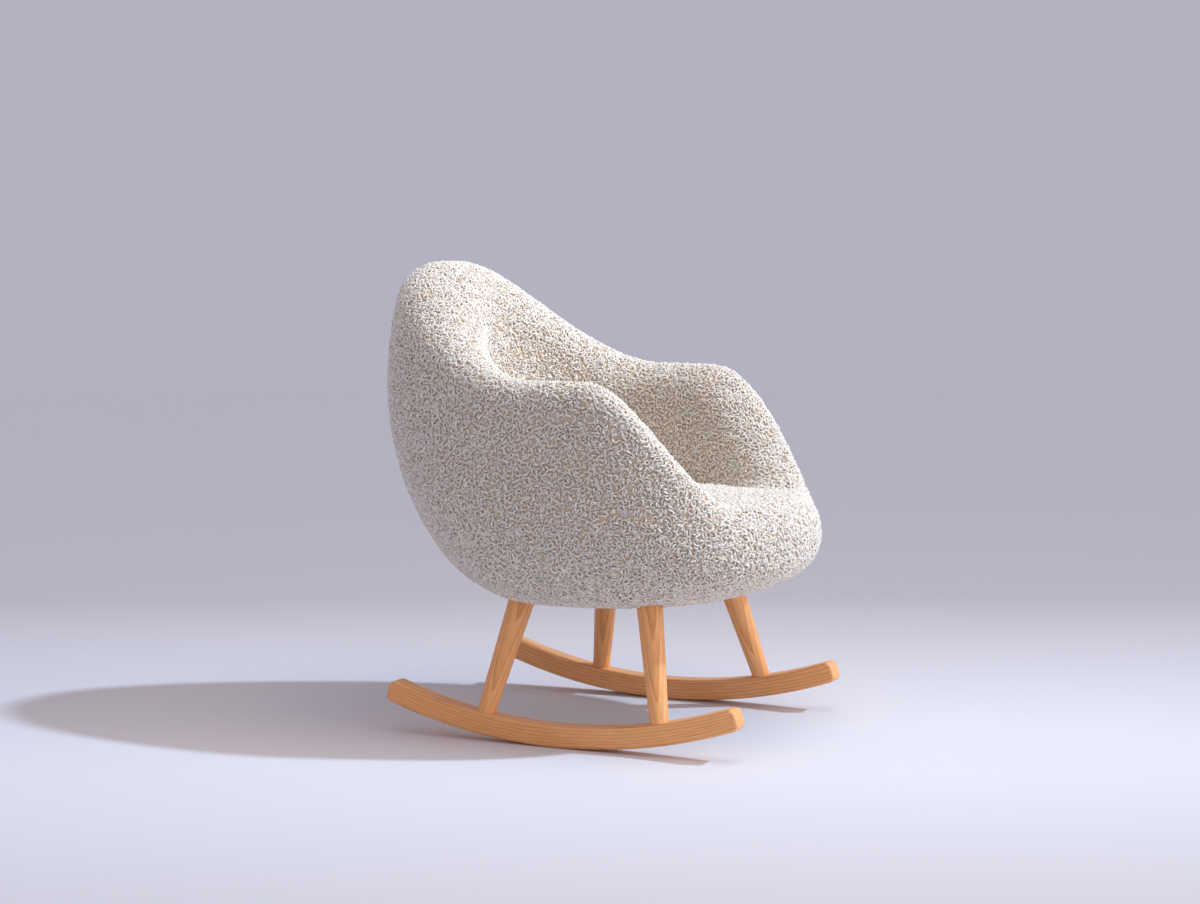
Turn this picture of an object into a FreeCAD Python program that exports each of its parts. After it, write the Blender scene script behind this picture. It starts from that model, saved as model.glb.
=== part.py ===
import FreeCAD, Part
import math
import os

# Upholstered rocking chair, millimetres.
# Z is up, the sitter faces -Y and +X is the sitter's left.
# The origin lies on the floor, midway between the two lines where the rockers touch it.

# Height of the seat, from which all heights of the tub are measured
seat_height = 402.0

# Tub seen from above, reaches measured from its upright axis
tub_axis_y = 30.0
tub_half_width = 338.0
tub_front_reach = 382.0
tub_back_reach = 392.0
tub_front_squareness = 2.4
tub_back_squareness = 2.0

# Flat underside of the tub, and how far it stands in from the widest line
base_side_step = 148.0
base_front_step = 197.0
base_back_step = 277.0
base_drop = 166.0
base_half_width = tub_half_width - base_side_step
base_front_reach = tub_front_reach - base_front_step
base_back_reach = tub_back_reach - base_back_step
base_height = seat_height - base_drop
base_squareness = 2.3
base_flange_width = 60.0

# Heights where the tub is widest, at the front nose, the sides and the back
nose_widest_height = seat_height - 64.0
side_widest_height = seat_height + 28.0
back_widest_height = seat_height + 233.0

# Heights of the rolled rim
nose_height = seat_height + 13.0
arm_height = seat_height + 225.0
back_height = seat_height + 418.0

# Roundness of the rolled rim, and how far it stands in from the widest line
nose_rim_radius = 58.0
arm_rim_radius = 50.0
back_rim_radius = 86.0
nose_rim_inset = 3.0
arm_rim_inset = 12.0
back_rim_inset = 16.0

# Angles round the tub, from the front, between which the rim climbs
arm_climb_start = 25.0
arm_climb_end = 71.0
back_climb_start = 92.0
back_climb_end = 176.0

# Seat hollow, and how thick the padded wall is at the seat
arm_thickness = 133.0
nose_thickness = 120.0
back_thickness = 202.0
seat_half_width = tub_half_width - arm_thickness
seat_front_reach = tub_front_reach - nose_thickness
seat_back_reach = tub_back_reach - back_thickness
seat_squareness = 2.4
seat_slope = 0.08
seat_crown = 14.0
seat_edge_radius = 18.0
seat_side_draw = 4.0
seat_crown_reach = 120.0
seat_clearance = 1.5
cover_tuck = 60.0

# Layers of the wall, from the outside in
cover_thickness = 3.0
outer_foam_thickness = 6.0
shell_thickness = 4.0
layer_gap = 0.3

# Inner foam, which stands on the seat frame and leaves a hollow behind it
nose_pad_thickness = 50.0
arm_pad_thickness = 36.0
back_pad_thickness = 22.0
pad_foot_thickness = 24.0

# Plywood seat frame
frame_lift = 40.0
frame_thickness = 18.0
frame_clearance = 1.0
opening_side_step = 85.0
opening_front_step = 15.0
opening_back_step = 35.0
frame_opening_radius = 50.0
frame_opening_width = 2 * (base_half_width - opening_side_step)
frame_opening_front = tub_axis_y - base_front_reach + opening_front_step
frame_opening_back = tub_axis_y + base_back_reach - opening_back_step
frame_opening_depth = frame_opening_back - frame_opening_front
frame_opening_y = (frame_opening_front + frame_opening_back) / 2.0

# Elastic webbing
strap_width = 50.0
strap_thickness = 2.0
strap_overlap = 38.0
strap_count = 3
strap_spare_across = 6.0
strap_spare_along = 16.0
strap_pitch_across = (frame_opening_width - strap_spare_across) / strap_count
strap_pitch_along = (frame_opening_depth - strap_spare_along) / strap_count
strap_ramp = 14.0
staple_width = 11.0
staple_wire = 1.3
staple_leg = 9.0
staple_pitch = 22.0
staple_edge = 10.0

# Dust cover
dust_cover_thickness = 1.0
dust_cover_overlap = 25.0

# Spacer blocks and shell screws
block_length = 46.0
block_width = 60.0
block_flange_edge = 8.0
shell_screw_diameter = 4.0
shell_screw_pitch = 30.0
shell_screw_grip = 11.0
shell_screw_head_diameter = 9.0
shell_screw_head_height = 3.0

# Rockers
rocker_inset = 96.0
rocker_shortening = 106.0
rocker_half_track = tub_half_width - rocker_inset
rocker_radius = 980.0
rocker_height = 38.0
rocker_width = 38.0
rocker_length = tub_front_reach + tub_back_reach - rocker_shortening
rocker_edge_radius = 5.0
rocker_end_radius = 12.0

# Legs
leg_top_diameter = 48.0
leg_foot_diameter = 32.0
leg_splay = 17.7
front_leg_setback = 169.0
front_leg_rake = 13.0
rear_leg_setback = 280.0
rear_leg_rake = 11.8
leg_hole_clearance = 0.5
leg_spare = 40.0

# Leg to rocker joint
tenon_diameter = 20.0
tenon_length = 18.0
tenon_clearance = 0.1
tenon_root = 12.0
screw_web = 8.0
rocker_screw_diameter = 5.0
rocker_screw_grip = 30.0
rocker_screw_head_diameter = 10.0
rocker_screw_head_height = 4.0
plug_diameter = 12.0
screw_clearance = 0.1

# Leg to seat frame joint
leg_bolt_diameter = 8.0
leg_bolt_head_diameter = 13.0
leg_bolt_head_height = 5.5
leg_washer_diameter = 24.0
leg_washer_thickness = 2.0
counterbore_diameter = 26.0
counterbore_depth = 9.0
insert_diameter = 13.0
insert_length = 25.0
bolt_clearance = 0.2

# Steps for the curved outlines
wall_sections = 48
ring_points = 48
pad_ring_spacing = 14.0

shell_outset = cover_thickness + outer_foam_thickness + 2 * layer_gap
shell_inset = shell_outset + shell_thickness
core_inset = shell_inset + layer_gap
frame_bottom = base_height + frame_lift
frame_top = frame_bottom + frame_thickness
webbing_top = frame_top + 2 * strap_thickness
far_away = 2000.0
sides = {"left": 1.0, "right": -1.0}
front_leg_y = tub_axis_y - tub_front_reach + front_leg_setback
rear_leg_y = tub_axis_y + tub_back_reach - rear_leg_setback
ends = {"front": (front_leg_y, front_leg_rake), "rear": (rear_leg_y, -rear_leg_rake)}
os.makedirs("parts", exist_ok=True)


def vector(x, y, z):
    return FreeCAD.Vector(x, y, z)


def smooth_share(share):
    share = min(max(share, 0.0), 1.0)
    return share * share * (3.0 - 2.0 * share)


def oval_radius(angle, half_width, front_reach, back_reach, front_power, back_power):
    across = abs(math.sin(angle)) / half_width
    along = math.cos(angle)
    reach, power = (front_reach, front_power) if along > 0.0 else (back_reach, back_power)
    return (across ** power + (abs(along) / reach) ** power) ** (-1.0 / power)


def base_radius(angle):
    return oval_radius(angle, base_half_width, base_front_reach, base_back_reach,
                       base_squareness, base_squareness)


def seat_radius(angle):
    return oval_radius(angle, seat_half_width, seat_front_reach, seat_back_reach,
                       seat_squareness, seat_squareness)


def seat_level(y):
    return seat_height - seat_slope * y


def round_tub(angle, front, side, back):
    """A value that changes smoothly from the nose to the arms to the back."""
    degrees = math.degrees(angle)
    to_side = smooth_share((degrees - arm_climb_start) / (90.0 - arm_climb_start))
    to_back = smooth_share((degrees - 90.0) / 90.0)
    return front + (side - front) * to_side + (back - side) * to_back


def rim_height(angle):
    degrees = math.degrees(angle)
    arm_share = smooth_share((degrees - arm_climb_start) / (arm_climb_end - arm_climb_start))
    back_share = smooth_share((degrees - back_climb_start) / (back_climb_end - back_climb_start))
    return nose_height + (arm_height - nose_height) * arm_share + (back_height - arm_height) * back_share


def line_edge(start, end):
    return Part.LineSegment(start, end).toShape()


def arc_edge(start, middle, end):
    return Part.Arc(start, middle, end).toShape()


class TubSection:
    """Upright section through the padded wall, at one angle round the tub axis."""

    def __init__(self, turn):
        self.turn = turn
        angle = abs(turn)
        self.base = base_radius(angle)
        widest = oval_radius(angle, tub_half_width, tub_front_reach, tub_back_reach,
                             tub_front_squareness, tub_back_squareness)
        widest_height = round_tub(angle, nose_widest_height, side_widest_height, back_widest_height)
        rim = round_tub(angle, nose_rim_radius, arm_rim_radius, back_rim_radius)
        rim_inset = round_tub(angle, nose_rim_inset, arm_rim_inset, back_rim_inset)
        rim_centre = (widest - rim - rim_inset, rim_height(angle) - rim)

        # The belly is a quarter oval of two arcs, level at the base and upright at the widest line
        belly_width = widest - self.base
        belly_rise = widest_height - base_height
        slope = math.atan2(belly_rise, belly_width)
        corner = (belly_width + belly_rise - math.hypot(belly_width, belly_rise)) / 2.0
        lower = corner / (1.0 - math.cos(slope))
        upper = corner / (1.0 - math.sin(slope))
        joint = slope - math.pi / 2.0

        # The outer wall is one arc from the widest line, tangent to the rolled rim
        climb = rim_centre[1] - widest_height
        wall = rim + rim_inset / 2.0 + climb * climb / (2.0 * rim_inset)
        wall_centre = (widest - wall, widest_height)
        rim_start = math.atan2(climb, rim_centre[0] - wall_centre[0])

        # The inner face is a straight line from the rim to the crease at the seat
        self.seat = seat_radius(angle)
        self.crease = (self.seat, seat_level(tub_axis_y - self.seat * math.cos(angle)))
        reach = (self.crease[0] - rim_centre[0], self.crease[1] - rim_centre[1])
        bearing = math.atan2(reach[1], reach[0]) % (2.0 * math.pi)
        rim_end = bearing - math.acos(rim / math.hypot(*reach))
        seam = (rim_start + rim_end) / 2.0
        self.face_direction = (-math.sin(rim_end), math.cos(rim_end))

        self.seam_gap = layer_gap / (rim - core_inset)
        self.pad = round_tub(angle, nose_pad_thickness, arm_pad_thickness, back_pad_thickness)
        self.arcs = [
            ((self.base, base_height + lower), lower, -math.pi / 2.0, joint),
            ((widest - upper, widest_height), upper, joint, 0.0),
            (wall_centre, wall, 0.0, rim_start),
            (rim_centre, rim, rim_start, seam),
            (rim_centre, rim, seam, rim_end),
        ]

    def place(self, point):
        radius, height = point
        return vector(radius * math.sin(self.turn), tub_axis_y - radius * math.cos(self.turn), height)

    def arc(self, index, inset, from_height=None, past_seam=0.0):
        centre, radius, start, end = self.arcs[index]
        radius = radius - inset
        if from_height is not None:
            start = math.asin((from_height - centre[1]) / radius)
        start = start + past_seam
        points = []
        for angle in (start, (start + end) / 2.0, end):
            points.append((centre[0] + radius * math.cos(angle), centre[1] + radius * math.sin(angle)))
        return points

    def belly_radius(self, height, inset):
        return self.arc(0, inset, height)[0][0]

    def flange(self, inset):
        height = base_height + inset
        return [(self.base - base_flange_width, height), (self.base, height)]

    def inner_face(self, inset):
        start = self.arc(4, inset)[2]
        run = (self.seat + inset - start[0]) / self.face_direction[0]
        return [start, (self.seat + inset, start[1] + run * self.face_direction[1])]

    def tuck(self, inset, bottom):
        start = self.inner_face(inset)[1]
        return [start, (start[0], bottom)]

    def outside_run(self, inset):
        return [self.arc(index, inset) for index in range(4)]

    def wire(self, pieces):
        """Closed wire through pieces of 2 points (lines) or 3 points (arcs), gaps joined by lines."""
        edges = []
        for index, piece in enumerate(pieces):
            points = [self.place(point) for point in piece]
            edges.append(arc_edge(*points) if len(points) == 3 else line_edge(*points))
            following = self.place(pieces[(index + 1) % len(pieces)][0])
            if points[-1].distanceToPoint(following) > 1e-6:
                edges.append(line_edge(points[-1], following))
        return Part.Wire(edges)


def backwards(pieces):
    return [piece[::-1] for piece in pieces[::-1]]


def loft_round_tub(pieces_of):
    wires = []
    for index in range(wall_sections):
        turn = 2.0 * math.pi * index / wall_sections
        section = TubSection(turn if turn <= math.pi else turn - 2.0 * math.pi)
        wires.append(section.wire(pieces_of(section)))
    return Part.makeLoft(wires, True, False, True)


def slab(bottom, top):
    return Part.makeBox(2 * far_away, 2 * far_away, top - bottom, vector(-far_away, -far_away, bottom))


def export(name, shape):
    shape.exportStep("parts/" + name + ".step")


# Leg axes

def rocker_top(y):
    return rocker_radius - math.sqrt((rocker_radius - rocker_height) ** 2 - y * y)


class Leg:
    """One splayed and raked leg, with its axis from the rocker to the seat frame."""

    def __init__(self, side, end):
        foot_y, rake = ends[end]
        self.foot = vector(sides[side] * rocker_half_track, foot_y, rocker_top(foot_y))
        inward = math.tan(math.radians(leg_splay))
        self.axis = vector(-sides[side] * inward, math.tan(math.radians(rake)), 1.0)
        self.axis.normalize()
        self.length = (frame_bottom - self.foot.z) / self.axis.z
        self.top = self.along(self.length)

    def along(self, distance):
        return self.foot + self.axis * distance

    def rod(self, diameter, start, end):
        return Part.makeCylinder(diameter / 2.0, end - start, self.along(start), self.axis)

    def taper(self, clearance):
        slope = (leg_top_diameter - leg_foot_diameter) / 2.0 / self.length
        low = leg_foot_diameter / 2.0 - slope * leg_spare + clearance
        high = leg_top_diameter / 2.0 + slope * leg_spare + clearance
        return Part.makeCone(low, high, self.length + 2 * leg_spare, self.along(-leg_spare), self.axis)

    def upright(self, diameter, bottom, top):
        return Part.makeCylinder(diameter / 2.0, top - bottom, vector(self.top.x, self.top.y, bottom))


legs = {}
for end in ends:
    for side in sides:
        legs["leg_" + end + "_" + side] = Leg(side, end)

screw_head_start = tenon_length + screw_web
screw_head_end = screw_head_start + rocker_screw_head_height


# Rockers: bent runners with mortises, screw holes and plugged counterbores

def rocker_blank(side):
    half_angle = math.asin(rocker_length / 2.0 / rocker_radius)
    left_edge = sides[side] * rocker_half_track - rocker_width / 2.0

    def point(radius, angle):
        return vector(left_edge, radius * math.sin(angle), rocker_radius - radius * math.cos(angle))

    outer = rocker_radius
    inner = rocker_radius - rocker_height
    outline = Part.Wire([
        arc_edge(point(outer, -half_angle), point(outer, 0.0), point(outer, half_angle)),
        line_edge(point(outer, half_angle), point(inner, half_angle)),
        arc_edge(point(inner, half_angle), point(inner, 0.0), point(inner, -half_angle)),
        line_edge(point(inner, -half_angle), point(outer, -half_angle)),
    ])
    bar = Part.Face(outline).extrude(vector(rocker_width, 0, 0))
    crossing = [edge for edge in bar.Edges if edge.BoundBox.XLength > rocker_width / 2.0]
    bar = bar.makeFillet(rocker_end_radius, crossing)
    rims = [edge for edge in bar.Edges if edge.BoundBox.XLength < rocker_width / 2.0]
    return bar.makeFillet(rocker_edge_radius, rims)


plugs = []
for side in sides:
    blank = rocker_blank(side)
    rocker = blank
    for end in ends:
        leg = legs["leg_" + end + "_" + side]
        counterbore = leg.rod(plug_diameter + screw_clearance, -far_away, -screw_head_start)
        rocker = rocker.cut(leg.rod(tenon_diameter + 2 * tenon_clearance, -tenon_length, leg_spare))
        rocker = rocker.cut(leg.rod(rocker_screw_diameter + 2 * screw_clearance, -screw_head_start, 0.0))
        rocker = rocker.cut(counterbore)
        plugs.append(leg.rod(plug_diameter, -2 * rocker_height, -screw_head_end).common(blank))
    export("rocker_" + side, rocker)
export("rocker_plugs", Part.makeCompound(plugs))


# Legs: turned tapers coped onto the rocker, with a tenon below and a threaded insert above

def leg_shape(leg):
    above_rocker = Part.makeCylinder(rocker_radius - rocker_height, 2 * far_away,
                                     vector(-far_away, 0, rocker_radius), vector(1, 0, 0))
    body = leg.taper(0.0).common(above_rocker).cut(slab(frame_bottom, far_away))
    body = body.fuse(leg.rod(tenon_diameter, -tenon_length, tenon_root)).removeSplitter()
    body = body.cut(leg.rod(rocker_screw_diameter, -tenon_length, rocker_screw_grip))
    return body.cut(leg.upright(insert_diameter, frame_bottom - insert_length, frame_top))


def rocker_screw(leg):
    shank = leg.rod(rocker_screw_diameter, -screw_head_start, rocker_screw_grip)
    head = leg.rod(rocker_screw_head_diameter, -screw_head_end, -screw_head_start)
    return shank.fuse(head).removeSplitter()


bolt_seat = frame_top - counterbore_depth


def leg_insert(leg):
    sleeve = leg.upright(insert_diameter, frame_bottom - insert_length, frame_bottom)
    thread = leg.upright(leg_bolt_diameter + bolt_clearance, frame_bottom - insert_length, frame_bottom)
    return sleeve.cut(thread)


def leg_washer(leg):
    disc = leg.upright(leg_washer_diameter, bolt_seat, bolt_seat + leg_washer_thickness)
    return disc.cut(leg.upright(leg_bolt_diameter + bolt_clearance, bolt_seat, frame_top))


def leg_bolt(leg):
    head_bottom = bolt_seat + leg_washer_thickness
    shank_bottom = frame_bottom - insert_length
    head = leg.upright(leg_bolt_head_diameter, head_bottom, head_bottom + leg_bolt_head_height)
    return head.fuse(leg.upright(leg_bolt_diameter, shank_bottom, head_bottom)).removeSplitter()


for name, leg in legs.items():
    export(name, leg_shape(leg))
for name, maker in (("rocker_screws", rocker_screw), ("leg_inserts", leg_insert),
                    ("leg_washers", leg_washer), ("leg_bolts", leg_bolt)):
    export(name, Part.makeCompound([maker(leg) for leg in legs.values()]))


# Tub shell, outer foam and outside cover: layers of one wall, pierced by the legs

def band(section, near, far, with_flange):
    out = section.outside_run(near)
    back = section.outside_run(far)
    if with_flange:
        out = [section.flange(near)] + out
        back = [section.flange(far)] + back
    return out + backwards(back)


def pierced(shape, clearance):
    for leg in legs.values():
        shape = shape.cut(leg.taper(clearance))
    return shape


outside_cover = loft_round_tub(lambda section: band(section, 0.0, cover_thickness, True))
export("outside_cover", pierced(outside_cover, leg_hole_clearance))

outer_foam_near = cover_thickness + layer_gap
outer_foam_far = outer_foam_near + outer_foam_thickness
outer_foam = loft_round_tub(lambda section: band(section, outer_foam_near, outer_foam_far, False))
export("outer_foam", pierced(outer_foam, leg_hole_clearance))

tub_shell = loft_round_tub(lambda section: band(section, shell_outset, shell_inset, True))


# Plywood seat frame: rests on the inner slope of the shell, open in the middle for the webbing

def ring_wire(radius_of, height_of):
    points = []
    for index in range(ring_points):
        angle = 2.0 * math.pi * index / ring_points
        radius = radius_of(angle)
        y = tub_axis_y - radius * math.cos(angle)
        points.append(vector(radius * math.sin(angle), y, height_of(y)))
    edges = []
    for index in range(0, ring_points, 2):
        edges.append(arc_edge(points[index], points[index + 1], points[(index + 2) % ring_points]))
    return Part.Wire(edges)


def disc(radius_of, bottom, thickness):
    return Part.Face(ring_wire(radius_of, lambda y: bottom)).extrude(vector(0, 0, thickness))


def half_turn(angle):
    return angle if angle <= math.pi else 2.0 * math.pi - angle


def frame_radius(angle):
    return TubSection(half_turn(angle)).belly_radius(frame_bottom, shell_inset + frame_clearance)


opening_corner = vector(-frame_opening_width / 2.0, frame_opening_front, frame_bottom)
opening = Part.makeBox(frame_opening_width, frame_opening_depth, frame_thickness, opening_corner)
upright_edges = [edge for edge in opening.Edges if edge.BoundBox.ZLength > frame_thickness / 2.0]
opening = opening.makeFillet(frame_opening_radius, upright_edges)
seat_frame = disc(frame_radius, frame_bottom, frame_thickness).cut(opening)
for leg in legs.values():
    seat_frame = seat_frame.cut(leg.upright(leg_bolt_diameter + bolt_clearance, frame_bottom, frame_top))
    seat_frame = seat_frame.cut(leg.upright(counterbore_diameter, bolt_seat, frame_top))


# Spacer blocks between the shell flange and the seat frame, each held by two screws from below

def turned(shape, degrees):
    return shape.rotated(vector(0, tub_axis_y, 0), vector(0, 0, 1), degrees)


block_bottom = base_height + core_inset
flange_bottom = base_height + shell_outset
blocks = []
shell_screws = []
screw_holes = []
for quarter in range(4):
    angle = quarter * math.pi / 2.0
    outer_end = base_radius(half_turn(angle)) - block_flange_edge
    corner = vector(-block_width / 2.0, tub_axis_y - outer_end, block_bottom)
    block = Part.makeBox(block_width, block_length, frame_bottom - block_bottom, corner)
    for offset in (-shell_screw_pitch / 2.0, shell_screw_pitch / 2.0):
        foot = vector(offset, tub_axis_y - outer_end + block_length / 2.0, flange_bottom)
        rise = frame_bottom + shell_screw_grip - flange_bottom
        shank = Part.makeCylinder(shell_screw_diameter / 2.0, rise, foot)
        head = Part.makeCylinder(shell_screw_head_diameter / 2.0, shell_screw_head_height,
                                 foot - vector(0, 0, shell_screw_head_height))
        hole = Part.makeCylinder(shell_screw_diameter / 2.0 + screw_clearance, rise + screw_clearance, foot)
        shell_screws.append(turned(shank.fuse(head).removeSplitter(), 90.0 * quarter))
        screw_holes.append(turned(hole, 90.0 * quarter))
    blocks.append(turned(block, 90.0 * quarter))
screw_bores = Part.makeCompound(screw_holes)
export("spacer_blocks", Part.makeCompound([block.cut(screw_bores) for block in blocks]))
export("shell_screws", Part.makeCompound(shell_screws))
export("tub_shell", pierced(tub_shell, leg_hole_clearance).cut(screw_bores))


# Webbing: lengthwise straps on the frame, crosswise straps stepping over them, stapled at both ends

strap_half_length = frame_opening_depth / 2.0 + strap_overlap
strap_half_span = frame_opening_width / 2.0 + strap_overlap
staples = []


def staple(x, y, top, along_x):
    size = (staple_width, staple_wire) if along_x else (staple_wire, staple_width)
    leg_offset = (staple_width - staple_wire) / 2.0
    crown = Part.makeBox(size[0], size[1], staple_wire, vector(x - size[0] / 2.0, y - size[1] / 2.0, top))
    for sign in (-1.0, 1.0):
        shift = (sign * leg_offset, 0.0) if along_x else (0.0, sign * leg_offset)
        foot = vector(x + shift[0], y + shift[1], top - staple_leg)
        corner = foot - vector(staple_wire / 2.0, staple_wire / 2.0, 0)
        crown = crown.fuse(Part.makeBox(staple_wire, staple_wire, staple_leg, corner))
    return crown.removeSplitter()


def strap_places(pitch):
    return [pitch * (index - (strap_count - 1) / 2.0) for index in range(strap_count)]


straps = {}
for index, x in enumerate(strap_places(strap_pitch_across)):
    corner = vector(x - strap_width / 2.0, frame_opening_y - strap_half_length, frame_top)
    strap = Part.makeBox(strap_width, 2 * strap_half_length, strap_thickness, corner)
    straps["webbing_long_" + str(index + 1)] = strap
    for end_y in (-strap_half_length + staple_edge, strap_half_length - staple_edge):
        for shift in (-staple_pitch / 2.0, staple_pitch / 2.0):
            staples.append(staple(x + shift, frame_opening_y + end_y, frame_top + strap_thickness, True))

raised_half = strap_places(strap_pitch_across)[-1] + strap_width / 2.0 + layer_gap
for index, y in enumerate(strap_places(strap_pitch_along)):
    low = frame_top
    high = frame_top + strap_thickness
    lower_line = [(-strap_half_span, low), (-raised_half - strap_ramp, low), (-raised_half, high),
                  (raised_half, high), (raised_half + strap_ramp, low), (strap_half_span, low)]
    upper_line = [(x, z + strap_thickness) for x, z in reversed(lower_line)]
    y_start = frame_opening_y + y - strap_width / 2.0
    corners = [vector(x, y_start, z) for x, z in lower_line + upper_line]
    outline = Part.makePolygon(corners + corners[:1])
    straps["webbing_cross_" + str(index + 1)] = Part.Face(outline).extrude(vector(0, strap_width, 0))
    for end_x in (-strap_half_span + staple_edge, strap_half_span - staple_edge):
        for shift in (-staple_pitch / 2.0, staple_pitch / 2.0):
            staples.append(staple(end_x, frame_opening_y + y + shift, frame_top + strap_thickness, False))

staple_group = Part.makeCompound(staples)
for name, strap in straps.items():
    export(name, strap.cut(staple_group))
export("webbing_staples", staple_group)
export("seat_frame", seat_frame.cut(staple_group).cut(screw_bores))


# Inner foam and inside cover: the padding of the back and arms, from the rim down to the seat

def inner_foam_pieces(section):
    near = cover_thickness + layer_gap
    bottom = frame_top + layer_gap
    gap = section.seam_gap
    front = [section.arc(4, near, past_seam=gap), section.inner_face(near), section.tuck(near, bottom)]
    back = [section.arc(4, section.pad, past_seam=gap), section.inner_face(section.pad)]
    foot = [back[1][1], (section.seat + pad_foot_thickness, bottom)]
    return front + backwards(back + [foot])


export("inner_foam", loft_round_tub(inner_foam_pieces))


def inside_cover_pieces(section):
    def run(inset):
        bottom = section.crease[1] - cover_tuck
        return [section.arc(4, inset), section.inner_face(inset), section.tuck(inset, bottom)]

    return run(0.0) + backwards(run(cover_thickness))


export("inside_cover", loft_round_tub(inside_cover_pieces))


# Seat foam and seat cover: a crowned pad with drawn-in sides that follows the slope of the seat

def seat_pad(inset, bottom):
    """Rings as (height, distance drawn in, share of the seat slope), about evenly spaced along the skin."""
    shoulder = seat_height - seat_edge_radius
    side_steps = round((shoulder - bottom) / pad_ring_spacing)
    edge_steps = round(seat_edge_radius * math.pi / 2.0 / pad_ring_spacing)
    crown_steps = round(seat_crown_reach / pad_ring_spacing)
    rings = []
    for step in range(side_steps):
        share = step / side_steps
        rise = (shoulder - inset - bottom) * share
        rings.append((bottom + rise, seat_side_draw * (1.0 - share) ** 2, share))
    for step in range(edge_steps):
        angle = math.pi / 2.0 * step / edge_steps
        rise = seat_edge_radius * math.sin(angle)
        rings.append((shoulder - inset + rise, seat_edge_radius * (1.0 - math.cos(angle)), 1.0))
    for step in range(crown_steps + 1):
        share = step / crown_steps
        rise = seat_crown * (1.0 - (1.0 - share) ** 2)
        rings.append((seat_height - inset + rise, seat_edge_radius + seat_crown_reach * share, 1.0))
    wires = []
    for height, draw, tilt in rings:
        draw_in = seat_clearance + inset + draw
        wires.append(ring_wire(lambda angle: seat_radius(half_turn(angle)) - draw_in,
                               lambda y: height - tilt * seat_slope * y))
    return Part.makeLoft(wires, True, False)


export("seat_foam", seat_pad(cover_thickness + layer_gap, webbing_top + layer_gap))
seat_skin = seat_pad(0.0, webbing_top).cut(slab(0.0, seat_height - cover_tuck))
export("seat_cover", seat_skin.cut(seat_pad(cover_thickness, webbing_top)))


# Dust cover: closes the underside inside the turned-in edge of the outside cover

def dust_cover_radius(angle):
    return base_radius(half_turn(angle)) - base_flange_width + dust_cover_overlap


dust_cover_bottom = base_height - layer_gap - dust_cover_thickness
export("dust_cover", disc(dust_cover_radius, dust_cover_bottom, dust_cover_thickness))
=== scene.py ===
import math

import bpy
import numpy as np
from bpy.props import FloatProperty, FloatVectorProperty, IntProperty, PointerProperty
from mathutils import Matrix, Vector


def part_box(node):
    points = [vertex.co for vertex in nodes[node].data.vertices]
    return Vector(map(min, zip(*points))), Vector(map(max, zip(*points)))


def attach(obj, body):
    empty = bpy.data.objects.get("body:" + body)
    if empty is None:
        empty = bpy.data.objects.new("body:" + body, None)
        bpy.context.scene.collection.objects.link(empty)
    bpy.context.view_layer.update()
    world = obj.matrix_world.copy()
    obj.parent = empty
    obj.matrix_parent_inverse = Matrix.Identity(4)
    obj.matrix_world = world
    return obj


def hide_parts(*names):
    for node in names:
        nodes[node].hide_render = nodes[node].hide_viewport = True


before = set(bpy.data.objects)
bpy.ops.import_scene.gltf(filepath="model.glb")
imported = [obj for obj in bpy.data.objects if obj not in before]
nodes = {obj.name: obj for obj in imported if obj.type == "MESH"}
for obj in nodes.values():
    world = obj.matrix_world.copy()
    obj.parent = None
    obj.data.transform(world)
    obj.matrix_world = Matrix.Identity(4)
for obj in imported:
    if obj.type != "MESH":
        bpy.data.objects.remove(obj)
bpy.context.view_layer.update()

bl_info = {
    "name": "Upholstered rocking chair",
    "version": (1, 0, 0),
    "blender": (4, 5, 0),
    "location": "View3D > Sidebar > Rocking chair",
    "description": "Dresses the packed rocking chair with boucle upholstery, ash wood and a studio",
    "category": "Object",
}


# Settings that a user would change
def number(label, text, value, **kind):
    return FloatProperty(name=label, description=text, default=value, **kind)


def length(label, text, value):
    return number(label, text, value, unit="LENGTH")


def degrees(label, text, value):
    return number(label, text, math.radians(value), subtype="ANGLE")


def place(label, text, value):
    return FloatVectorProperty(name=label, description=text, default=value, subtype="XYZ", size=3,
                               unit="LENGTH")


def colour(label, text, value):
    return FloatVectorProperty(name=label, description=text, default=value, subtype="COLOR", size=3)


class TubForm(bpy.types.PropertyGroup):
    """Sizes of the padded tub, mostly those of the solids."""

    axis_y: length("Axis", "Place of the tub's upright axis along Y", 0.030)
    half_width: length("Half width", "Widest half width", 0.338)
    front_reach: length("Front reach", "From the axis to the nose", 0.382)
    back_reach: length("Back reach", "From the axis to the back", 0.392)
    base_half_width: length("Base half width", "Half width of the flat underside", 0.190)
    base_front: length("Base front", "Front reach of the underside", 0.185)
    base_back: length("Base back", "Back reach of the underside", 0.115)
    base_height: length("Base height", "Height of the underside", 0.236)
    nose_height: length("Nose height", "Top of the front nose", 0.415)
    arm_height: length("Arm height", "Top of the arms", 0.627)
    back_height: length("Back height", "Top of the back", 0.820)
    seat_half_width: length("Seat half width", "Half width between the arms at the seat", 0.205)
    seat_front: length("Seat front", "Front reach of the seat", 0.262)
    seat_back: length("Seat back", "Back reach of the seat", 0.190)
    seat_height: length("Seat height", "Height of the seat's edge", 0.402)
    seat_crown: length("Seat crown", "Rise of the seat's middle before the cloth swells", 0.009)
    crease_depth: length("Crease depth", "Depth of the crease round the seat", 0.020)
    crest_shift: number("Crest shift", "How far out the rim's crest lies, as a share of its roll", 0.26,
                        subtype="FACTOR")
    swell_cap: length("Swell cap", "How far a point of the cloth may move", 0.006)
    pressure: number("Pressure", "Air pressure that swells the cloth", 4.0)
    voxel: length("Remesh size", "Size of the remeshed faces before subdivision", 0.0056)


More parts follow.
